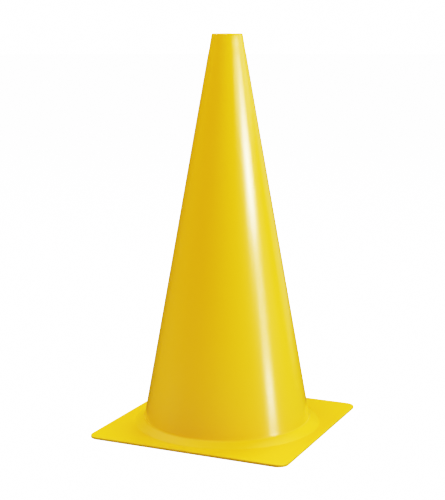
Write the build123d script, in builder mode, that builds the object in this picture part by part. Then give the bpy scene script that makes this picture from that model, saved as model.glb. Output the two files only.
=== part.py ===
from build123d import *
import math
import os

# Marker cone: a tapered hollow body snapped onto a thin square plate.
#
# Millimetres, +Z up. The origin is on the floor, on the cone's axis, and the plate's sides run
# along X and Y. The body's foot turns out into a low flare, which ends in a thin flange that lies
# in a rebate in the top of the plate, flush with it. A low collar on the plate stands inside the
# foot, and the snap lugs round it hold in a groove in the body. The open rim takes a pole, and
# cones stack: ribs under the pole socket stand on the rim of the cone below.

# --- Overall sizes ----------------------------------------------------------------------------
total_height = 380.0
foot_radius = 82.4  # where the straight outer wall would meet the plate's top
plate_overhang = 18.6  # from the foot radius to each side of the plate
plate_thickness = 2.4
wall_thickness = 1.8  # measured level, not square to the slope

# --- Plate edges ------------------------------------------------------------------------------
plate_corner_radius = 10.0
plate_top_rounding = 0.6
plate_bottom_rounding = 0.3

# --- Foot of the body -------------------------------------------------------------------------
foot_rise = 5.0  # from the plate's top up to where the wall turns out into the flare
foot_bend = 2.5  # outer radius of that turn
flare_reach = 8.6  # from the foot radius to where the flare would meet the plate's top
flare_blend = 6.0  # radius of the curve from the flare into the plate's top
flange_land = 0.9  # flat ring past the end of that curve
flange_thickness = 1.2

# --- Rim and pole socket ----------------------------------------------------------------------
pole_radius = 12.5
pole_clearance = 0.25
socket_length = 12.5
socket_lead_in = 0.4
rim_wall = 1.75  # the body's wall at the very top
rim_rounding = 1.2

# --- Snap joint between the body and the plate --------------------------------------------------
fit_clearance = 0.15
collar_thickness = 1.4
collar_height = 9.0  # above the plate's top
collar_lead_in = 0.5
lug_count = 6
lug_arc = 14.0  # degrees round the collar
lug_reach = 0.7  # how far a lug stands out of the collar
lug_flat = 0.5  # height of its upright tip
lug_height = 2.4
lug_start = 2.0  # from the plate's top up to the lug's holding face
slot_width = 2.0  # cuts beside each lug that let the collar spring in
slot_start = 1.0  # from the plate's top up to the foot of a slot

# --- Stacking ribs ----------------------------------------------------------------------------
stack_clearance = 0.4  # level gap between a cone and the one nested in it
rib_count = 4
rib_thickness = 2.0
rib_setback = 0.2  # how far the ribs stay behind the socket's wall

# --- Sizes that follow --------------------------------------------------------------------------
plate_side = 2 * (foot_radius + plate_overhang)
socket_radius = pole_radius + pole_clearance
rim_radius = socket_radius + rim_wall
taper = (foot_radius - rim_radius) / (total_height - plate_thickness)
flange_seat = plate_thickness - flange_thickness
bend_height = plate_thickness + foot_rise
bend_corner = foot_radius - taper * foot_rise
flare_radius = foot_radius + flare_reach
flare_slope = math.atan2(foot_rise, flare_radius - bend_corner)
flange_radius = flare_radius + flare_blend * math.tan(flare_slope / 2) + flange_land
socket_floor = total_height - socket_length
collar_top = plate_thickness + collar_height
lug_low = plate_thickness + lug_start
lug_high = lug_low + lug_height
foot_stack = wall_thickness + fit_clearance + collar_thickness
stack_pitch = (foot_stack + stack_clearance) / taper
rib_end = total_height - stack_pitch


def outer_radius(height):
    """Radius of the body's straight outer wall at a height above the floor."""
    return foot_radius - taper * (height - plate_thickness)


def inner_radius(height):
    """Radius of the body's inner wall at a height above the floor."""
    return outer_radius(height) - wall_thickness


def collar_radius(height):
    """Outer radius of the plate's collar, one fit clearance inside the body."""
    return inner_radius(height) - fit_clearance


def snap_section(surface, low, high):
    """Corners of a hooked ring section that stands out of a tapered surface.

    Its lower face is level and holds, and its upper face slopes so that the body rides over it.
    """
    root = collar_thickness / 2
    return [
        (surface(low) - root, low),
        (surface(low) + lug_reach, low),
        (surface(low) + lug_reach, low + lug_flat),
        (surface(high), high),
        (surface(high) - root, high),
    ]


def corner_at(sketch, radius, height):
    """The corner of a sketch that lies at a radius and a height."""
    return sketch.vertices().sort_by_distance((radius, height))[0]


# --- Cone body ----------------------------------------------------------------------------------
with BuildPart() as cone_body:
    with BuildSketch(Plane.XZ) as wall_section:
        with BuildLine():
            Polyline(
                (flange_radius, flange_seat),
                (flange_radius, plate_thickness),
                (flare_radius, plate_thickness),
                (bend_corner, bend_height),
                (rim_radius, total_height),
                (socket_radius, total_height),
                (socket_radius, socket_floor),
                (inner_radius(socket_floor), socket_floor),
                (inner_radius(flange_seat), flange_seat),
                close=True,
            )
        make_face()
        fillet(corner_at(wall_section, bend_corner, bend_height), foot_bend)
        fillet(corner_at(wall_section, flare_radius, plate_thickness), flare_blend)
        fillet(corner_at(wall_section, rim_radius, total_height), rim_rounding)
        chamfer(corner_at(wall_section, socket_radius, total_height), socket_lead_in)
    revolve(axis=Axis.Z)

    # Groove that the plate's lugs snap into, one clearance larger than a lug all round.
    with BuildSketch(Plane.XZ):
        with BuildLine():
            groove_low = lug_low - fit_clearance
            groove_high = lug_high + fit_clearance
            Polyline(*snap_section(inner_radius, groove_low, groove_high), close=True)
        make_face()
    revolve(axis=Axis.Z, mode=Mode.SUBTRACT)

    # Stacking ribs from the socket down to where the rim of the next cone comes to rest.
    for rib in range(rib_count):
        turn = 360 / rib_count * (rib + 0.5)
        with BuildSketch(Plane.XZ.rotated((0, 0, turn))):
            with BuildLine():
                rib_face = socket_radius + rib_setback
                wall_middle = wall_thickness / 2
                Polyline(
                    (rib_face, rib_end),
                    (inner_radius(rib_end) + wall_middle, rib_end),
                    (inner_radius(socket_floor) + wall_middle, socket_floor),
                    (rib_face, socket_floor),
                    close=True,
                )
            make_face()
        extrude(amount=rib_thickness / 2, both=True)

# --- Base plate ---------------------------------------------------------------------------------
with BuildPart() as base_plate:
    with BuildSketch():
        RectangleRounded(plate_side, plate_side, plate_corner_radius)
    extrude(amount=plate_thickness)
    fillet(base_plate.edges().group_by(Axis.Z)[-1], plate_top_rounding)
    fillet(base_plate.edges().group_by(Axis.Z)[0], plate_bottom_rounding)

    # Opening for the cone below in a stack, with the rebate that the body's flange lies in.
    with Locations((0, 0, plate_thickness)):
        CounterBoreHole(
            radius=collar_radius(0) - collar_thickness / 2,
            counter_bore_radius=flange_radius + fit_clearance,
            counter_bore_depth=flange_thickness,
        )

    # Collar that stands inside the body's foot and follows its slope.
    with BuildSketch(Plane.XZ) as collar_section:
        with BuildLine():
            Polyline(
                (collar_radius(0) - collar_thickness, 0),
                (collar_radius(0), 0),
                (collar_radius(collar_top), collar_top),
                (collar_radius(collar_top) - collar_thickness, collar_top),
                close=True,
            )
        make_face()
        chamfer(corner_at(collar_section, collar_radius(collar_top), collar_top), collar_lead_in)
    revolve(axis=Axis.Z)

    # Snap lugs, each a short arc of the hooked section.
    for lug in range(lug_count):
        first_edge = 360 / lug_count * lug - lug_arc / 2
        with BuildSketch(Plane.XZ.rotated((0, 0, first_edge))):
            with BuildLine():
                Polyline(*snap_section(collar_radius, lug_low, lug_high), close=True)
            make_face()
        revolve(axis=Axis.Z, revolution_arc=lug_arc)

    # Slots at both ends of each lug, open at the collar's top.
    for end in (-1, 1):
        with Locations((0, 0, plate_thickness + slot_start)):
            with PolarLocations(collar_radius(lug_low), lug_count, start_angle=end * lug_arc / 2):
                Box(
                    4 * collar_thickness,
                    slot_width,
                    collar_height,
                    align=(Align.CENTER, Align.CENTER, Align.MIN),
                    mode=Mode.SUBTRACT,
                )

# --- Export -------------------------------------------------------------------------------------
cone_body.part.label = "cone_body"
base_plate.part.label = "base_plate"

os.makedirs("parts", exist_ok=True)
export_step(cone_body.part, "parts/cone_body.step")
export_step(base_plate.part, "parts/base_plate.step")

print(f"plate side {plate_side:.2f}, rim radius {rim_radius:.2f}, taper {taper:.4f}")
print(f"flange radius {flange_radius:.2f}, stack pitch {stack_pitch:.2f}")
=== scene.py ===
"""A plain yellow marker cone: a tapered plastic body snapped onto a thin square plate.

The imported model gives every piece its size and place. This script gives the pieces their finish,
adds the fine shape that moulding leaves on them, and lights them in a plain studio. Everything is
in metres, with +Z up and the origin on the floor under the cone's axis.
"""

import logging
import math
from dataclasses import dataclass
from enum import Enum
from typing import Any, Callable, Mapping, Optional, Sequence, Union

import bmesh
import bpy
from mathutils import Euler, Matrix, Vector


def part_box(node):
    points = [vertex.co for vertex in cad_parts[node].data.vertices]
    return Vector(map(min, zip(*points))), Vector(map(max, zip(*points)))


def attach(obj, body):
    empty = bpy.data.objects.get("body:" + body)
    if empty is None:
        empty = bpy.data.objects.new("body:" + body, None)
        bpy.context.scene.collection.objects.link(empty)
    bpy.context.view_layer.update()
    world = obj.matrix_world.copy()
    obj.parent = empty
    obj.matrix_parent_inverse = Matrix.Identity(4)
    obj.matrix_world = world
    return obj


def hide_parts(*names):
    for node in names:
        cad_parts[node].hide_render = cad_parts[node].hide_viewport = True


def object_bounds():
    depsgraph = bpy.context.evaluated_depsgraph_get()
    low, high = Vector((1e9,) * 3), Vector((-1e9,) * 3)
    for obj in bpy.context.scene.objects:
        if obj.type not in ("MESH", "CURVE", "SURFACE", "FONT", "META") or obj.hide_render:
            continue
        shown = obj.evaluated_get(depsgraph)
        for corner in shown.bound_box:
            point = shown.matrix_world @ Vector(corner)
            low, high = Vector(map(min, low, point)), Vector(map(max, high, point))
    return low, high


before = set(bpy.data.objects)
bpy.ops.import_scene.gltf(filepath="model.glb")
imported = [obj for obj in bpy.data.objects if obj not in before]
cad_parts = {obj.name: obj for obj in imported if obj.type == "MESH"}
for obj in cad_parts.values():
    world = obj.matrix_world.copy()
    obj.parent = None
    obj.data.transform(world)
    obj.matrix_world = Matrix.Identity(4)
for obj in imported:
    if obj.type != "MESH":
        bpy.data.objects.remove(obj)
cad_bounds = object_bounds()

log = logging.getLogger("marker_cone")

Colour = tuple[float, float, float]
Number = Union[float, "Value"]
Point = tuple[float, float, float]
Section = Sequence[tuple[float, float]]
Offset = Callable[[float, float], float]

MM = 0.001
WELD = 0.002 * MM  # points closer than this after a cut are one
SAME_POINT = 1e-7  # points of an outline closer than this are one
CREASE = math.radians(28.0)  # edges sharper than this stay sharp
PLASTIC_IOR = 1.5
MIX_FACTOR, MIX_FROM, MIX_TO, MIX_RESULT = 0, 6, 7, 2  # a Mix node's sockets for colours
BODY = "root"


# --- Shader graph ---------------------------------------------------------------------------


class Value:
    """A shader socket that holds a number, with Python's arithmetic as Math nodes."""

    def __init__(self, graph: "Graph", socket: bpy.types.NodeSocket) -> None:
        """Wraps a socket of a graph."""
        self.graph = graph
        self.socket = socket

    def __add__(self, other: Number) -> "Value":
        """self + other."""
        return self.graph.maths("ADD", self, other)

    def __radd__(self, other: Number) -> "Value":
        """other + self."""
        return self.graph.maths("ADD", other, self)

    def __sub__(self, other: Number) -> "Value":
        """self - other."""
        return self.graph.maths("SUBTRACT", self, other)

    def __rsub__(self, other: Number) -> "Value":
        """other - self."""
        return self.graph.maths("SUBTRACT", other, self)

    def __mul__(self, other: Number) -> "Value":
        """self * other."""
        return self.graph.maths("MULTIPLY", self, other)

    def __rmul__(self, other: Number) -> "Value":
        """other * self."""
        return self.graph.maths("MULTIPLY", other, self)


class Graph:
    """The node tree of one material."""

    def __init__(self, name: str) -> None:
        """Makes an empty material.

        Args:
            name: The material's name.
        """
        self.material = bpy.data.materials.new(name)
        self.material.use_nodes = True
        self.tree = self.material.node_tree
        self.tree.nodes.clear()

    def node(
        self,
        kind: str,
        settings: Optional[Mapping[str, Any]] = None,
        inputs: Optional[Mapping[Union[str, int], Any]] = None,
    ) -> bpy.types.Node:
        """Makes a node, its settings first and its sockets after.

        Args:
            kind: Blender's name for the node's type.
            settings: Attributes of the node, by name.
            inputs: A value or a link for each socket, by name or by number.

        Returns:
            The new node.
        """
        made = self.tree.nodes.new(kind)
        for name, value in (settings or {}).items():
            setattr(made, name, value)
        for name, value in (inputs or {}).items():
            self._feed(made.inputs[name], value)
        return made

    def maths(self, operation: str, *terms: Number) -> Value:
        """Adds a Math node.

        Args:
            operation: Blender's name for the operation.
            terms: Its operands, numbers or values.

        Returns:
            The result as a value.
        """
        made = self.node("ShaderNodeMath", {"operation": operation}, dict(enumerate(terms)))
        return Value(self, made.outputs[0])

    def value(self, node: bpy.types.Node, output: Union[str, int] = 0) -> Value:
        """An output of a node as a value."""
        return Value(self, node.outputs[output])

    def _feed(self, socket: bpy.types.NodeSocket, value: Any) -> None:
        """Sets a socket to a constant, or links it to what feeds it.

        Args:
            socket: The input.
            value: A value, another node's output, or a constant.
        """
        if isinstance(value, Value):
            self.tree.links.new(value.socket, socket)
        elif isinstance(value, bpy.types.NodeSocket):
            self.tree.links.new(value, socket)
        else:
            socket.default_value = value


# --- Finishes -------------------------------------------------------------------------------


@dataclass(frozen=True)
class Noise:
    """A smooth uneven pattern that fills space.

    Attributes:
        scale: How fine it is, per metre.
        detail: How many finer layers it adds.
        flow: How fast it changes along the vertical axis, 1 for as fast as across it.
    """

    scale: float
    detail: float
    flow: float = 1.0

    def value(self, graph: Graph, place: bpy.types.NodeSocket) -> Value:
        """Adds the pattern to a graph.

        Args:
            graph: The material's graph.
            place: The coordinates that the pattern is read at.

        Returns:
            The pattern, about 0.5 on average.
        """
        if self.flow != 1.0:
            drawn_out = graph.node(
                "ShaderNodeVectorMath",
                {"operation": "MULTIPLY"},
                {0: place, 1: (1.0, 1.0, self.flow)},
            )
            place = drawn_out.outputs[0]
        made = graph.node(
            "ShaderNodeTexNoise",
            inputs={"Vector": place, "Scale": self.scale, "Detail": self.detail},
        )
        return graph.value(made, "Fac")


@dataclass(frozen=True)
class MouldedPlastic:
    """Semi-gloss coloured polyethylene, as it comes out of a polished mould.

    Attributes:
        name: The material's name.
        colour: The pigment's colour, linear.
        pale: The same pigment where it is thinner or chalkier.
        roughness: The roughness of a clean patch.
        specular: The strength of the surface reflection, 0.5 for plain plastic.
        grain: How deep the moulding texture is, in metres.
        streaks: Flow marks, drawn out up the part.
        cloud: Broad unevenness of the pigment.
        peel: The fine texture of the moulded skin.
        streak_gloss: How far the streaks move the roughness, from end to end.
        cloud_gloss: How far the cloud moves the roughness, from end to end.
    """

    name: str
    colour: Colour = (0.89, 0.462, 0.0025)
    pale: Colour = (0.91, 0.482, 0.0035)
    roughness: float = 0.21
    specular: float = 0.5
    grain: float = 0.004 * MM
    streaks: Noise = Noise(scale=38.0, detail=4.0, flow=0.12)
    cloud: Noise = Noise(scale=9.0, detail=3.0)
    peel: Noise = Noise(scale=620.0, detail=2.0)
    streak_gloss: float = 0.04
    cloud_gloss: float = 0.05

    def material(self) -> bpy.types.Material:
        """Builds the finish's node tree.

        Returns:
            The material.
        """
        graph = Graph(self.name)
        place = graph.node("ShaderNodeTexCoord").outputs["Object"]
        streaks = self.streaks.value(graph, place)
        cloud = self.cloud.value(graph, place)
        peel = self.peel.value(graph, place)

        tint = streaks * 0.5 + cloud * 0.5
        colour = graph.node(
            "ShaderNodeMix",
            {"data_type": "RGBA"},
            {MIX_FACTOR: tint, MIX_FROM: (*self.colour, 1.0), MIX_TO: (*self.pale, 1.0)},
        )
        haze = (cloud - 0.5) * self.cloud_gloss
        roughness = self.roughness + haze + (streaks - 0.5) * self.streak_gloss
        bump = graph.node(
            "ShaderNodeBump",
            inputs={"Strength": 1.0, "Distance": self.grain, "Height": peel},
        )
        shader = graph.node(
            "ShaderNodeBsdfPrincipled",
            inputs={
                "Base Color": colour.outputs[MIX_RESULT],
                "Roughness": roughness,
                "Normal": bump.outputs["Normal"],
                "IOR": PLASTIC_IOR,
                "Specular IOR Level": self.specular,
            },
        )
        graph.node("ShaderNodeOutputMaterial", inputs={"Surface": shader.outputs[0]})
        return graph.material


@dataclass(frozen=True)
class StudioWhite:
    """The white of the floor and the backdrop, lit evenly.

    Attributes:
        name: The material's name.
        glow: Its even light.
        albedo: How much of the lamps' light it adds, which is what leaves a trace of a shadow.
        colour: The tint of its light.
    """

    name: str
    glow: float
    albedo: float
    colour: Colour = (1.0, 1.0, 1.0)

    def material(self) -> bpy.types.Material:
        """Builds the finish's node tree.

        Returns:
            The material.
        """
        graph = Graph(self.name)
        matt = graph.node("ShaderNodeBsdfDiffuse", inputs={"Color": (*(self.albedo,) * 3, 1.0)})
        light = graph.node(
            "ShaderNodeEmission", inputs={"Color": (*self.colour, 1.0), "Strength": self.glow}
        )
        both = graph.node("ShaderNodeAddShader", inputs={0: matt.outputs[0], 1: light.outputs[0]})
        graph.node("ShaderNodeOutputMaterial", inputs={"Surface": both.outputs[0]})
        return graph.material


# --- Meshes ---------------------------------------------------------------------------------


class Profile:
    """A closed outline in the plane of radius and height, drawn run by run."""

    def __init__(self, radius: float, height: float) -> None:
        """Starts the outline at a point."""
        self.points: list[tuple[float, float]] = [(radius, height)]

    def line(self, radius: float, height: float, steps: int = 1) -> "Profile":
        """Adds a straight run to a point.

        Args:
            radius: The point's radius.
            height: Its height.
            steps: How many equal edges the run has.

        Returns:
            The profile, so that calls can follow one another.
        """
        from_radius, from_height = self.points[-1]
        for step in range(1, steps + 1):
            share = step / steps
            self.points.append(
                (
                    from_radius + (radius - from_radius) * share,
                    from_height + (height - from_height) * share,
                )
            )
        return self

    def arc(
        self, middle: tuple[float, float], size: float, first: float, last: float, steps: int
    ) -> "Profile":
        """Adds an arc.

        Args:
            middle: The arc's centre.
            size: Its radius.
            first: The angle it starts at, in radians from outwards towards up.
            last: The angle it ends at.
            steps: How many edges it has.

        Returns:
            The profile, so that calls can follow one another.
        """
        for step in range(steps + 1):
            turn = first + (last - first) * step / steps
            point = (middle[0] + size * math.cos(turn), middle[1] + size * math.sin(turn))
            if math.dist(point, self.points[-1]) > SAME_POINT:
                self.points.append(point)
        return self

    def turned(self, name: str, segments: int, offset: Optional[Offset] = None) -> bpy.types.Object:
        """Revolves the outline about the vertical axis into a closed mesh of quads.

        Args:
            name: The object's name.
            segments: How many faces go round.
            offset: How far a point moves outwards, from its angle and its height.

        Returns:
            The new object.
        """
        loops = []
        for radius, height in self.points:
            loop = []
            for segment in range(segments):
                turn = math.tau * segment / segments
                reach = radius + (offset(turn, height) if offset else 0.0)
                loop.append((reach * math.cos(turn), reach * math.sin(turn), height))
            loops.append(loop)
        return lofted(name, loops)


def meshed(
    name: str, places: Sequence[Sequence[float]], faces: Sequence[Sequence[int]]
) -> bpy.types.Object:
    """Makes an object from points and faces.

    Args:
        name: The object's name.
        places: Its points.
        faces: Each face's points, by number.

    Returns:
        The new object.
    """
    mesh = bpy.data.meshes.new(name)
    mesh.from_pydata(places, [], faces)
    mesh.update()
    obj = bpy.data.objects.new(name, mesh)
    bpy.context.scene.collection.objects.link(obj)
    return obj


def lofted(name: str, loops: Sequence[Sequence[Point]]) -> bpy.types.Object:
    """Joins loops of points into a closed mesh of quads, the last loop to the first.

    Args:
        name: The object's name.
        loops: Level loops with the same number of points, in order round the section.

    Returns:
        The new object.
    """
    count = len(loops[0])
    faces = []
    for ring in range(len(loops)):
        here, after = ring * count, (ring + 1) % len(loops) * count
        for spot in range(count):
            beside = (spot + 1) % count
            faces.append((here + spot, here + beside, after + beside, after + spot))
    return meshed(name, [point for loop in loops for point in loop], faces)


def block(name: str, corners: Section, half: float, turn: float) -> bpy.types.Object:
    """Makes a straight prism that stands in a plane through the vertical axis.

    Args:
        name: The object's name.
        corners: Its section in that plane, as (radius, height), counter-clockwise.
        half: Half its thickness.
        turn: The plane's angle, in radians.

    Returns:
        The new object.
    """
    out = Vector((math.cos(turn), math.sin(turn), 0.0))
    side = Vector((-math.sin(turn), math.cos(turn), 0.0))
    count = len(corners)
    places = [
        out * radius + side * reach + Vector((0.0, 0.0, height))
        for reach in (-half, half)
        for radius, height in corners
    ]
    faces = [tuple(range(count)), tuple(reversed(range(count, 2 * count)))]
    faces += [
        (corner, corner + count, (corner + 1) % count + count, (corner + 1) % count)
        for corner in range(count)
    ]
    return meshed(name, places, faces)


def sector(
    name: str, corners: Section, first: float, last: float, steps: int
) -> bpy.types.Object:
    """Turns a section about the vertical axis over part of a turn, closed at both ends.

    Args:
        name: The object's name.
        corners: The section, as (radius, height), counter-clockwise.
        first: The angle it starts at, in radians.
        last: The angle it ends at.
        steps: How many faces go along it.

    Returns:
        The new object.
    """
    count = len(corners)
    turns = [first + (last - first) * step / steps for step in range(steps + 1)]
    places = [
        (radius * math.cos(turn), radius * math.sin(turn), height)
        for turn in turns
        for radius, height in corners
    ]
    faces = [tuple(range(count)), tuple(range(steps * count, (steps + 1) * count))]
    for step in range(steps):
        here, after = step * count, (step + 1) * count
        for corner in range(count):
            beside = (corner + 1) % count
            faces.append((here + corner, here + beside, after + beside, after + corner))
    return meshed(name, places, faces)


def puck(name: str, middle: Point, radius: float, half: float, segments: int) -> bpy.types.Object:
    """Makes a short upright cylinder.

    Args:
        name: The object's name.
        middle: The cylinder's centre.
        radius: Its radius.
        half: Half its height.
        segments: How many faces go round.

    Returns:
        The new object.
    """
    work = bmesh.new()
    bmesh.ops.create_cone(
        work, cap_ends=True, segments=segments, radius1=radius, radius2=radius, depth=2 * half
    )
    bmesh.ops.translate(work, verts=work.verts, vec=middle)
    obj = meshed(name, [], [])
    work.to_mesh(obj.data)
    work.free()
    return obj


def sheet(name: str, side: float, height: float) -> bpy.types.Object:
    """Makes a level square about the vertical axis.

    Args:
        name: The object's name.
        side: Its side.
        height: Its height.

    Returns:
        The new object.
    """
    reach = side / 2
    corners = [(-reach, -reach), (reach, -reach), (reach, reach), (-reach, reach)]
    return meshed(name, [(x, y, height) for x, y in corners], [(0, 1, 2, 3)])


def outward(obj: bpy.types.Object) -> None:
    """Turns a mesh's faces outwards and shades it smooth, apart from its sharp edges.

    Args:
        obj: The mesh's object.
    """
    work = bmesh.new()
    work.from_mesh(obj.data)
    bmesh.ops.recalc_face_normals(work, faces=work.faces)
    work.to_mesh(obj.data)
    work.free()
    obj.data.shade_smooth()
    obj.data.set_sharp_from_angle(angle=CREASE)


class Cut(Enum):
    """What a tool body does to a mesh."""

    JOIN = "UNION"
    REMOVE = "DIFFERENCE"


def combine(target: bpy.types.Object, tools: Sequence[bpy.types.Object], cut: Cut) -> None:
    """Joins tool bodies to a mesh or cuts them out of it, and deletes them.

    Args:
        target: The mesh that stays.
        tools: Closed meshes.
        cut: Whether they are joined or removed.
    """
    for tool in tools:
        outward(tool)
        step = target.modifiers.new("cut", "BOOLEAN")
        step.operation = cut.value
        step.solver = "EXACT"
        step.object = tool
    graph = bpy.context.evaluated_depsgraph_get()
    done = bpy.data.meshes.new_from_object(target.evaluated_get(graph))
    target.modifiers.clear()
    target.data = done
    work = bmesh.new()
    work.from_mesh(done)
    bmesh.ops.remove_doubles(work, verts=work.verts, dist=WELD)
    bmesh.ops.dissolve_degenerate(work, edges=work.edges, dist=WELD)
    work.to_mesh(done)
    work.free()
    for tool in tools:
        bpy.data.objects.remove(tool)


# --- Cone body ------------------------------------------------------------------------------


@dataclass
class ConeBody:
    """The tapered shell, from the flange in the plate's rebate to the pole socket at the rim.

    Sizes are in metres and heights are above the floor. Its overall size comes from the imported
    node.
    """

    node: str = "cone_body"
    slot: str = "cone_plastic"
    plate_top: float = 2.4 * MM
    foot_radius: float = 82.4 * MM
    rim_radius: float = 14.5 * MM
    wall: float = 1.8 * MM
    foot_rise: float = 5.0 * MM
    foot_bend: float = 2.5 * MM
    polish_start: float = 8.6 * MM  # where the foot's bend meets the straight wall
    flare_radius: float = 91.0 * MM
    flare_blend: float = 6.0 * MM
    fit: float = 0.15 * MM
    rim_rounding: float = 1.2 * MM
    lead_in: float = 0.4 * MM
    socket_radius: float = 12.75 * MM
    socket_length: float = 12.5 * MM
    groove_low: float = 4.25 * MM
    groove_tip: float = 4.75 * MM
    groove_high: float = 6.95 * MM
    groove_depth: float = 0.7 * MM
    rib_count: int = 4
    rib_half: float = 1.0 * MM
    rib_setback: float = 0.2 * MM
    rib_length: float = 8.354 * MM
    segments: int = 240
    ring_step: float = 4.0 * MM
    blend_steps: int = 6
    bend_steps: int = 10
    rim_steps: int = 8
    socket_steps: int = 4
    ovality: float = 0.10 * MM
    oval_twist: float = 2.1  # radians from foot to rim
    trefoil: float = 0.6  # a three-sided shape, as a share of the ovality
    trefoil_twist: float = -5.0
    sink_depth: float = 0.14 * MM
    sink_spread: float = 1.6 * MM

    def __post_init__(self) -> None:
        """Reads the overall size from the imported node."""
        low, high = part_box(self.node)
        self.seat = low[2]
        self.top = high[2]
        self.flange_radius = high[0] + self.fit
        self.taper = (self.foot_radius - self.rim_radius) / (self.top - self.plate_top)
        self.socket_floor = self.top - self.socket_length

    def outer(self, height: float) -> float:
        """Radius of the straight outer wall at a height."""
        return self.foot_radius - self.taper * (height - self.plate_top)

    def inner(self, height: float) -> float:
        """Radius of the inner wall at a height."""
        return self.outer(height) - self.wall

    def profile(self) -> Profile:
        """Draws the shell's section, outside first.

        Returns:
            The closed profile.
        """
        lean = math.atan(self.taper)
        crease = (self.outer(self.plate_top + self.foot_rise), self.plate_top + self.foot_rise)
        slope = math.atan2(self.foot_rise, self.flare_radius - crease[0])
        half = (math.pi / 2 - lean - slope) / 2
        bend_run = self.foot_bend * math.tan(half)
        bend_middle = (
            crease[0] + bend_run * math.cos(slope) + self.foot_bend * math.sin(slope),
            crease[1] - bend_run * math.sin(slope) + self.foot_bend * math.cos(slope),
        )
        wall_start = bend_middle[1] - self.foot_bend * math.sin(lean)
        blend_run = self.flare_blend * math.tan(slope / 2)
        blend_middle = (self.flare_radius + blend_run, self.plate_top + self.flare_blend)
        rim_middle_height = self.top - self.rim_rounding
        rim_reach = self.rim_rounding / math.cos(lean)
        rim_middle = (self.outer(rim_middle_height) - rim_reach, rim_middle_height)
        wall_end = rim_middle[1] + self.rim_rounding * math.sin(lean)

        shape = Profile(self.flange_radius, self.seat)
        shape.line(self.flange_radius, self.plate_top)
        down = -math.pi / 2
        shape.arc(blend_middle, self.flare_blend, down, down - slope, self.blend_steps)
        shape.arc(bend_middle, self.foot_bend, down - slope, -math.pi + lean, self.bend_steps)
        rings = round((wall_end - wall_start) / self.ring_step)
        shape.line(self.outer(wall_end), wall_end, rings)
        shape.arc(rim_middle, self.rim_rounding, lean, math.pi / 2, self.rim_steps)
        bore = (self.socket_radius + self.lead_in, self.top - self.lead_in)
        shape.arc(bore, self.lead_in, math.pi / 2, math.pi, self.socket_steps)
        shape.line(self.socket_radius, self.socket_floor, self.socket_steps)
        shape.line(self.inner(self.socket_floor), self.socket_floor)
        fall = self.socket_floor - self.groove_high
        shape.line(self.inner(self.groove_high), self.groove_high, round(fall / self.ring_step / 2))
        groove = self.inner(self.groove_low) + self.groove_depth
        shape.line(groove, self.groove_tip)
        shape.line(groove, self.groove_low)
        shape.line(self.inner(self.groove_low), self.groove_low)
        shape.line(self.inner(self.seat), self.seat)
        return shape

    def unevenness(self, turn: float, height: float) -> float:
        """How far the moulded wall stands off the true cone.

        It is slightly oval and three-sided between foot and rim, and sinks a little over the
        thick floor of the socket.

        Args:
            turn: The angle, in radians.
            height: The height.

        Returns:
            The offset, outwards.
        """
        share = (height - self.plate_top) / (self.top - self.plate_top)
        settle = max(0.0, math.sin(math.pi * min(1.0, max(0.0, share)))) ** 0.5
        oval = math.cos(2.0 * turn + self.oval_twist * share)
        oval += self.trefoil * math.cos(3.0 * turn + self.trefoil_twist * share)
        sink = math.exp(-(((height - self.socket_floor) / self.sink_spread) ** 2))
        return self.ovality * oval * settle - self.sink_depth * sink

    def build(self) -> bpy.types.Object:
        """Makes the shell with its stacking ribs.

        Returns:
            The shell's object.
        """
        shell = self.profile().turned("body_shell", self.segments, self.unevenness)
        outward(shell)
        combine(shell, self.ribs(), Cut.JOIN)
        outward(shell)
        return shell

    def ribs(self) -> list[bpy.types.Object]:
        """Makes the ribs under the socket that the next cone's rim comes to rest on.

        Returns:
            The ribs' objects.
        """
        rib_end = self.socket_floor - self.rib_length
        face = self.socket_radius + self.rib_setback
        root = self.wall / 2
        lap = self.wall / 2
        corners = [
            (face, rib_end),
            (self.inner(rib_end) + root, rib_end),
            (self.inner(self.socket_floor) + root, self.socket_floor + lap),
            (face, self.socket_floor + lap),
        ]
        return [
            block(f"rib_{rib}", corners, self.rib_half, math.tau * (rib + 0.5) / self.rib_count)
            for rib in range(self.rib_count)
        ]

    def dress(
        self, shell: bpy.types.Object, wall: bpy.types.Material, foot: bpy.types.Material
    ) -> None:
        """Gives the shell its finishes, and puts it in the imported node's place.

        Args:
            shell: The shell's object.
            wall: The material of the polished wall.
            foot: The material of the flare, which is the plate's.
        """
        shell.data.materials.clear()
        shell.data.materials.append(wall)
        shell.data.materials.append(foot)
        for face in shell.data.polygons:
            x, y, height = face.center
            outside = math.hypot(x, y) > self.inner(height) + self.wall / 2
            face.material_index = 1 if outside and height < self.polish_start else 0
        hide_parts(self.node)
        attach(shell, BODY)


# --- Base plate -----------------------------------------------------------------------------


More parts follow.
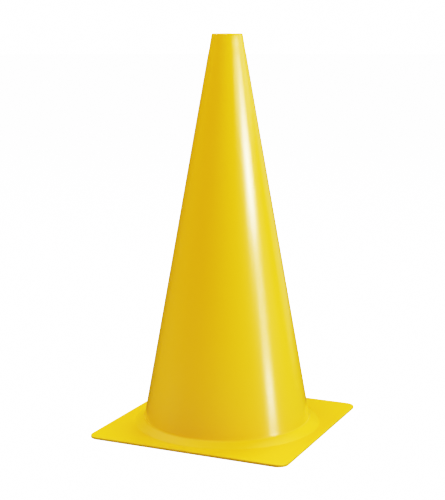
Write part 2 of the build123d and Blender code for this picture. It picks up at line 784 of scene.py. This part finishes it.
@dataclass
class BasePlate:
    """The thin square plate, with the collar and snap lugs that hold the body.

    Sizes are in metres and heights are above the floor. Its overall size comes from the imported
    node.
    """

    node: str = "base_plate"
    slot: str = "plate_plastic"
    thickness: float = 2.4 * MM
    corner_radius: float = 10.0 * MM
    top_rounding: float = 0.6 * MM
    bottom_rounding: float = 0.3 * MM
    parting_height: float = 1.2 * MM
    parting_reach: float = 0.04 * MM
    parting_half: float = 0.06 * MM
    rebate_depth: float = 1.2 * MM
    fit: float = 0.15 * MM
    collar_wall: float = 1.4 * MM
    collar_lead_in: float = 0.5 * MM
    lug_count: int = 6
    lug_arc: float = math.radians(14.0)
    lug_reach: float = 0.7 * MM
    lug_flat: float = 0.5 * MM
    lug_low: float = 4.4 * MM
    lug_high: float = 6.8 * MM
    lug_lap: float = 0.1 * MM
    slot_half: float = 1.0 * MM
    slot_floor: float = 3.4 * MM
    mark_radius: float = 3.0 * MM
    mark_depth: float = 0.15 * MM
    mark_segments: int = 32
    wave: float = 0.07 * MM
    wave_x: tuple[float, float] = (61.0, 1.3)  # radians per metre, and phase
    wave_y: tuple[float, float] = (47.0, -0.6)
    side_steps: int = 44
    corner_steps: int = 10
    bottom_steps: int = 3
    top_steps: int = 6
    strips: int = 8
    lug_steps: int = 8

    def __post_init__(self) -> None:
        """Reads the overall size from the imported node."""
        low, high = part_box(self.node)
        self.half_side = high[0]
        self.collar_top = high[2]

    def outline(self, inset: float) -> list[tuple[float, float]]:
        """Points of the rounded square, a distance inside the plate's edge.

        The points of a straight side are evenly spread in angle, seen from the middle.

        Args:
            inset: How far inside the edge.

        Returns:
            The points, counter-clockwise from the +X side.
        """
        half = self.half_side - inset
        radius = self.corner_radius - inset
        middle = self.half_side - self.corner_radius
        reach = math.atan2(middle, half)
        points = []
        for quarter in range(4):
            turn = math.pi / 2 * quarter
            spots = []
            for step in range(self.side_steps):
                angle = -reach + 2 * reach * step / self.side_steps
                spots.append((half, half * math.tan(angle)))
            for step in range(self.corner_steps):
                angle = math.pi / 2 * step / self.corner_steps
                spots.append(
                    (middle + radius * math.cos(angle), middle + radius * math.sin(angle))
                )
            points += [
                (x * math.cos(turn) - y * math.sin(turn), x * math.sin(turn) + y * math.cos(turn))
                for x, y in spots
            ]
        return points

    def square(self, inset: float, height: float) -> list[Point]:
        """A loop of the rounded square at a height."""
        return [(x, y, height) for x, y in self.outline(inset)]

    def circle(self, radius: float, height: float) -> list[Point]:
        """A round loop whose points lie in line with those of the square.

        Args:
            radius: The loop's radius.
            height: Its height.

        Returns:
            The loop.
        """
        loop = []
        for x, y in self.outline(0.0):
            scale = radius / math.hypot(x, y)
            loop.append((x * scale, y * scale, height))
        return loop

    def between(
        self, outer: list[Point], inner: list[Point], wave: float = 0.0
    ) -> list[list[Point]]:
        """Loops that lead from one loop to another, with the slight waves of a moulded face.

        Args:
            outer: The loop to start from.
            inner: The loop to end before.
            wave: How far the face stands off true.

        Returns:
            The loops between the two, without them.
        """
        loops = []
        for step in range(1, self.strips):
            share = step / self.strips
            swell = wave * math.sin(math.pi * share)
            loop = []
            for (x, y, z), (to_x, to_y, to_z) in zip(outer, inner):
                along = math.sin(self.wave_x[0] * x + self.wave_x[1])
                across = math.cos(self.wave_y[0] * y + self.wave_y[1])
                height = z + (to_z - z) * share + swell * along * across
                loop.append((x + (to_x - x) * share, y + (to_y - y) * share, height))
            loops.append(loop)
        return loops

    def build(self, body: ConeBody) -> bpy.types.Object:
        """Makes the plate to fit a body.

        Args:
            body: The cone body whose flange and foot the plate holds.

        Returns:
            The plate's object.
        """
        top, low, high = self.thickness, self.bottom_rounding, self.top_rounding
        loops = []
        for step in range(self.bottom_steps + 1):
            turn = math.pi / 2 * step / self.bottom_steps
            loops.append(self.square(low * (1 - math.sin(turn)), low * (1 - math.cos(turn))))
        loops.append(self.square(0.0, self.parting_height - self.parting_half))
        loops.append(self.square(-self.parting_reach, self.parting_height))
        loops.append(self.square(0.0, self.parting_height + self.parting_half))
        for step in range(self.top_steps + 1):
            turn = math.pi / 2 * step / self.top_steps
            height = top - high * (1 - math.sin(turn))
            loops.append(self.square(high * (1 - math.cos(turn)), height))
        rebate = self.circle(body.flange_radius, top)
        loops += self.between(loops[-1], rebate, self.wave)
        loops.append(rebate)
        floor = top - self.rebate_depth
        loops.append(self.circle(body.flange_radius, floor))
        loops.append(self.circle(self._collar(body, floor), floor))
        chamfer = self.collar_top - self.collar_lead_in
        rise = self.collar_top
        loops.append(self.circle(self._collar(body, chamfer), chamfer))
        loops.append(self.circle(self._collar(body, rise) - self.collar_lead_in, rise))
        loops.append(self.circle(self._collar(body, rise) - self.collar_wall, rise))
        opening = self.circle(self._collar(body, 0.0) - self.collar_wall, 0.0)
        loops.append(opening)
        loops += self.between(opening, loops[0])
        plate = lofted("plate", loops)
        outward(plate)
        combine(plate, self._lugs(body), Cut.JOIN)
        combine(plate, self._slots(body) + self._marks(), Cut.REMOVE)
        outward(plate)
        return plate

    def _collar(self, body: ConeBody, height: float) -> float:
        """Outer radius of the collar at a height."""
        return body.inner(height) - self.fit

    def _lugs(self, body: ConeBody) -> list[bpy.types.Object]:
        """Makes the snap lugs, hooked below and sloped above.

        Args:
            body: The cone body that they hold.

        Returns:
            The lugs' objects.
        """
        root = self.collar_wall / 2
        low, high = self.lug_low, self.lug_high
        foot, head = self._collar(body, low), self._collar(body, high)
        corners = [
            (foot - root, low),
            (foot + self.lug_reach, low),
            (foot + self.lug_reach, low + self.lug_flat),
            (head - self.lug_lap, high),
            (head - root, high),
        ]
        half = self.lug_arc / 2
        turns = [math.tau * lug / self.lug_count for lug in range(self.lug_count)]
        return [
            sector(f"lug_{lug}", corners, turn - half, turn + half, self.lug_steps)
            for lug, turn in enumerate(turns)
        ]

    def _slots(self, body: ConeBody) -> list[bpy.types.Object]:
        """Makes the cutters of the slots beside each lug.

        Args:
            body: The cone body that the collar fits.

        Returns:
            The cutters' objects.
        """
        reach = 2 * self.collar_wall
        radius = self._collar(body, self.lug_low)
        above = self.collar_top + reach
        corners = [
            (radius - reach, self.slot_floor),
            (radius + reach, self.slot_floor),
            (radius + reach, above),
            (radius - reach, above),
        ]
        slots = []
        for lug in range(self.lug_count):
            for end in (-0.5, 0.5):
                turn = math.tau * lug / self.lug_count + end * self.lug_arc
                slots.append(block(f"slot_{len(slots)}", corners, self.slot_half, turn))
        return slots

    def _marks(self) -> list[bpy.types.Object]:
        """Makes the cutters of the shallow ejector marks underneath.

        Returns:
            The cutters' objects.
        """
        far = self.half_side - self.corner_radius - 2 * self.mark_radius
        near = self.half_side - self.corner_radius
        spots = [(far, far), (-far, far), (-far, -far), (far, -far)]
        spots += [(near, 0.0), (0.0, near), (-near, 0.0), (0.0, -near)]
        size = (self.mark_radius, self.mark_depth, self.mark_segments)
        return [puck(f"mark_{spot}", (x, y, 0.0), *size) for spot, (x, y) in enumerate(spots)]

    def dress(self, plate: bpy.types.Object, plastic: bpy.types.Material) -> None:
        """Gives the plate its finish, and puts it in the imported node's place.

        Args:
            plate: The plate's object.
            plastic: Its material.
        """
        plate.data.materials.clear()
        plate.data.materials.append(plastic)
        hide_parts(self.node)
        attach(plate, BODY)


# --- Studio ---------------------------------------------------------------------------------


@dataclass(frozen=True)
class SoftBox:
    """A rectangular lamp that faces the object.

    Attributes:
        name: The lamp's name.
        azimuth: Degrees round the object, from -Y towards +X.
        lift: Degrees above the horizon, as seen from the aim.
        distance: From the aim to the lamp.
        size: Its side.
        power: Radiant power in watts.
        colour: Its tint.
        aim: Height on the axis that it faces.
        hidden: Whether reflections and the camera miss it.
    """

    name: str
    azimuth: float
    lift: float
    distance: float
    size: float
    power: float
    colour: Colour = (1.0, 1.0, 1.0)
    aim: float = 0.1
    hidden: bool = False

    def build(self) -> bpy.types.Object:
        """Makes the lamp.

        Returns:
            The lamp's object.
        """
        turn, lift = math.radians(self.azimuth), math.radians(self.lift)
        level = math.cos(lift) * self.distance
        height = self.aim + math.sin(lift) * self.distance
        place = Vector((math.sin(turn) * level, -math.cos(turn) * level, height))
        lamp = panel(self.name, place, self.size, self.size, self.power, self.colour, self.aim)
        lamp.visible_camera = not self.hidden
        lamp.visible_glossy = not self.hidden
        return lamp


def panel(
    name: str, place: Vector, width: float, tall: float, power: float, colour: Colour, aim: float
) -> bpy.types.Object:
    """Makes a rectangular lamp that faces a point on the vertical axis.

    Args:
        name: The lamp's name.
        place: Its middle.
        width: Its level size.
        tall: Its other size.
        power: Radiant power in watts.
        colour: Its tint.
        aim: Height on the axis that it faces.

    Returns:
        The lamp's object.
    """
    data = bpy.data.lights.new(name, "AREA")
    data.shape = "RECTANGLE"
    data.size = width
    data.size_y = tall
    data.energy = power
    data.color = colour
    lamp = bpy.data.objects.new(name, data)
    lamp.location = place
    look = Vector((0.0, 0.0, aim)) - place
    lamp.rotation_euler = look.to_track_quat("-Z", "Y").to_euler()
    bpy.context.scene.collection.objects.link(lamp)
    return lamp


@dataclass(frozen=True)
class Pane:
    """One level strip of the tall window light.

    Attributes:
        low: Height of its lower edge.
        high: Height of its upper edge.
        first: Azimuth of its first upright edge, in degrees from -Y towards +X.
        last: Azimuth of the other one.
        power: Watts per square metre.
        glint: Whether it shows in reflections alone.
    """

    low: float
    high: float
    first: float
    last: float
    power: float
    glint: bool = False


@dataclass(frozen=True)
class TallWindow:
    """A tall window light beside the object: bright panes in front of a dimmer curtain.

    Attributes:
        distance: From the vertical axis to the bright panes.
        spacing: From the bright panes back to the curtain.
        colour: The tint of its light.
        bright: The narrow bright panes.
        curtain: The wide dim panes behind them.
    """

    distance: float = 1.5
    spacing: float = 0.02
    colour: Colour = (0.80, 1.02, 1.0)
    bright: tuple[Pane, ...] = (
        Pane(0.015, 0.085, 83.5, 94.0, 158.0, glint=True),
        Pane(0.205, 0.265, 83.0, 98.0, 60.0),
        Pane(0.42, 0.465, 85.0, 96.0, 145.0),
        Pane(0.465, 0.60, 83.5, 92.5, 104.0),
        Pane(0.60, 0.72, 80.0, 89.0, 18.0),
    )
    curtain: tuple[Pane, ...] = (
        Pane(0.42, 0.465, 76.0, 104.0, 56.0),
        Pane(0.465, 0.60, 74.0, 105.0, 68.0),
        Pane(0.60, 0.72, 70.0, 107.0, 36.0),
        Pane(0.72, 0.90, 58.0, 108.0, 21.0),
        Pane(0.50, 0.90, 112.0, 145.0, 8.0),
    )

    def build(self) -> None:
        """Makes a lamp for every pane."""
        for row, pane in enumerate(self.bright):
            self._lamp(f"bright_{row}", pane, self.distance)
        for row, pane in enumerate(self.curtain):
            self._lamp(f"curtain_{row}", pane, self.distance + self.spacing)

    def _lamp(self, name: str, pane: Pane, distance: float) -> None:
        """Makes the lamp of one pane, which faces the axis level.

        Args:
            name: The lamp's name.
            pane: The pane.
            distance: From the vertical axis to the lamp.
        """
        width = 2.0 * distance * math.tan(math.radians(pane.last - pane.first) / 2.0)
        tall = pane.high - pane.low
        turn = math.radians((pane.first + pane.last) / 2.0)
        height = (pane.high + pane.low) / 2.0
        place = Vector((math.sin(turn) * distance, -math.cos(turn) * distance, height))
        lamp = panel(name, place, width, tall, pane.power * width * tall, self.colour, height)
        lamp.visible_diffuse = not pane.glint


@dataclass(frozen=True)
class Viewpoint:
    """Where the camera stands.

    Attributes:
        azimuth: Degrees round the object, from -Y towards +X.
        distance: From the vertical axis, in the object's heights.
        height: Above the floor, in the object's heights.
        pitch: Degrees below the horizon that it looks.
        turn: Degrees that it looks to the left of the axis.
        lens: Focal length in millimetres.
        sensor: The sensor's width in millimetres.
    """

    azimuth: float = 24.048
    distance: float = 3.1267
    height: float = 1.0262
    pitch: float = 10.338
    turn: float = 0.212
    lens: float = 89.773
    sensor: float = 36.0

    def build(self, tall: float) -> bpy.types.Object:
        """Makes the camera and gives it to the scene.

        Args:
            tall: The object's height.

        Returns:
            The camera's object.
        """
        data = bpy.data.cameras.new("camera")
        data.lens = self.lens
        data.sensor_width = self.sensor
        camera = bpy.data.objects.new("camera", data)
        turn = math.radians(self.azimuth)
        level = self.distance * tall
        camera.location = (math.sin(turn) * level, -math.cos(turn) * level, self.height * tall)
        camera.rotation_euler = Euler(
            (math.radians(90.0 - self.pitch), 0.0, math.radians(self.azimuth + self.turn))
        )
        bpy.context.scene.collection.objects.link(camera)
        bpy.context.scene.camera = camera
        return camera


@dataclass(frozen=True)
class FilmResponse:
    """How a camera holds back bright tones.

    Attributes:
        points: Scene light and the brightness that it is shown with, from dark to bright.
    """

    points: tuple[tuple[float, float], ...] = (
        (0.45, 0.45),
        (0.70, 0.64),
        (1.00, 0.765),
        (1.40, 0.87),
        (2.00, 0.96),
        (2.80, 1.0),
    )

    def apply(self) -> None:
        """Sets the scene's view to this response."""
        view = bpy.context.scene.view_settings
        view.view_transform = "Standard"
        view.use_curve_mapping = True
        mapping = view.curve_mapping
        mapping.use_clip = False
        mapping.clip_max_x = self.points[-1][0]
        mapping.extend = "HORIZONTAL"
        for channel in mapping.curves[:3]:
            channel.points[1].location = self.points[0]
            for light, shade in self.points[1:]:
                channel.points.new(light, shade)
        mapping.update()


@dataclass
class Studio:
    """Floor, backdrop, lamps and camera.

    Attributes:
        floor: The finish of the floor that shows.
        floor_side: The floor's side.
        floor_drop: How far the patch inside lies under the plate, and the floor under the patch.
        shade: The dim finish of the floor inside the body: painted shade where the body's shadow
            falls.
        inside_side: That patch's side, a little under the plate's.
        backdrop: The backdrop's finish.
        dome_radius: The backdrop's radius.
        dome_segments: How many faces go round it.
        dome_rings: How many go from pole to pole.
        sheet_gap: Between one bounce sheet and the next.
        bounce_colour: The tint of the light that the floor throws back.
        bounce: Each bounce sheet's side and glow, the largest and lowest first.
        boxes: The lamps beside the tall window.
    """

    floor: StudioWhite = StudioWhite("floor_white", glow=2.4, albedo=0.3)
    floor_side: float = 30.0
    floor_drop: float = 0.05 * MM
    # painted shade: the floor patch inside the body glows dimmer than the rest
    shade: StudioWhite = StudioWhite("floor_shaded", glow=0.12, albedo=0.7)
    inside_side: float = 190.0 * MM
    backdrop: StudioWhite = StudioWhite("backdrop_white", glow=3.2, albedo=0.0)
    dome_radius: float = 15.0
    dome_segments: int = 48
    dome_rings: int = 24
    sheet_gap: float = 0.2 * MM
    bounce_colour: Colour = (1.08, 1.0, 1.0)
    bounce: tuple[tuple[float, float], ...] = (
        (6.0, 0.76),
        (3.0, 0.88),
        (1.5, 1.20),
        (0.228, 0.25),
    )
    boxes: tuple[SoftBox, ...] = (
        SoftBox("back_light", 175.0, 60.0, 1.8, 0.5, 18.8, (0.92, 1.04, 1.0)),
        SoftBox("back_fill", 205.0, 60.0, 1.8, 0.5, 3.6, (0.92, 1.04, 1.0)),
        SoftBox("left_sky", -60.0, 60.0, 1.8, 0.8, 11.2, (0.90, 1.0, 1.0)),
        SoftBox("left_side", -100.0, 45.0, 1.8, 0.8, 8.8, (0.90, 1.0, 1.0)),
        SoftBox("front_sky", 0.0, 60.0, 1.8, 0.8, 15.4, (1.12, 0.97, 1.0)),
        SoftBox("right_side", 110.0, 12.0, 2.5, 1.2, 1.6),
        SoftBox("right_rim", 160.0, 8.0, 2.5, 1.4, 3.2),
        SoftBox("foot_card", -48.0, 0.0, 0.24, 0.10, 0.062, (0.40, 1.0, 0.3), 0.015, hidden=True),
    )

    def build(self, tall: float) -> None:
        """Makes the whole studio.

        Args:
            tall: The object's height.
        """
        self._world()
        self._bounce()
        self._floor()
        self._dome()
        for box in self.boxes:
            box.build()
            log.info("lamp %s, %.2f W", box.name, box.power)
        TallWindow().build()
        Viewpoint().build(tall)
        FilmResponse().apply()

    def _world(self) -> None:
        """Leaves the room itself dark: all the light comes from the lamps and the floor."""
        world = bpy.data.worlds.new("room")
        world.use_nodes = True
        world.node_tree.nodes["Background"].inputs["Strength"].default_value = 0.0
        bpy.context.scene.world = world

    def _bounce(self) -> None:
        """Lays the sheets whose even glow is the light that a white floor throws back.

        The smallest one is the shade close round the plate.
        """
        for number, (side, glow) in enumerate(self.bounce):
            height = self.sheet_gap * (number - len(self.bounce) - 1)
            obj = sheet(f"bounce_{number}", side, height)
            finish = StudioWhite(obj.name, glow, albedo=0.0, colour=self.bounce_colour)
            obj.data.materials.append(finish.material())
            obj.visible_camera = False
            obj.visible_glossy = False
            obj.visible_transmission = False

    def _floor(self) -> None:
        """Lays the floor just under the plate, and a dim patch of it inside the body: painted shade
        where the body's shadow falls.
        """
        for name, side, drop, finish in (
            ("floor", self.floor_side, 2 * self.floor_drop, self.floor),
            # painted shade: this patch glows dimmer where the body would shade the floor
            ("floor_inside", self.inside_side, self.floor_drop, self.shade),
        ):
            floor = sheet(name, side, -drop)
            floor.data.materials.append(finish.material())
            self._stage(floor)

    def _dome(self) -> None:
        """Puts an even white backdrop all round."""
        bpy.ops.mesh.primitive_uv_sphere_add(
            segments=self.dome_segments, ring_count=self.dome_rings, radius=self.dome_radius
        )
        dome = bpy.context.object
        dome.name = "backdrop"
        dome.data.materials.append(self.backdrop.material())
        self._stage(dome)

    @staticmethod
    def _stage(obj: bpy.types.Object) -> None:
        """Leaves a studio surface to the camera alone; it stays out of the model, as no body holds
        it.

        Args:
            obj: The surface's object.
        """
        obj.visible_diffuse = False
        obj.visible_glossy = False
        obj.visible_transmission = False
        obj.visible_shadow = False


# --- Making ---------------------------------------------------------------------------------


def main() -> None:
    """Builds and dresses every piece, and lights the object."""
    logging.basicConfig(level=logging.INFO, format="%(name)s: %(message)s")
    gloss = MouldedPlastic("body_plastic").material()
    satin = MouldedPlastic("plate_plastic", roughness=0.42, specular=0.1).material()
    body = ConeBody()
    shell = body.build()
    body.dress(shell, gloss, satin)
    log.info("%s: %d faces", shell.name, len(shell.data.polygons))
    base = BasePlate()
    plate = base.build(body)
    base.dress(plate, satin)
    log.info("%s: %d faces", plate.name, len(plate.data.polygons))
    Studio().build(cad_bounds[1].z)


if __name__ == "__main__":
    main()
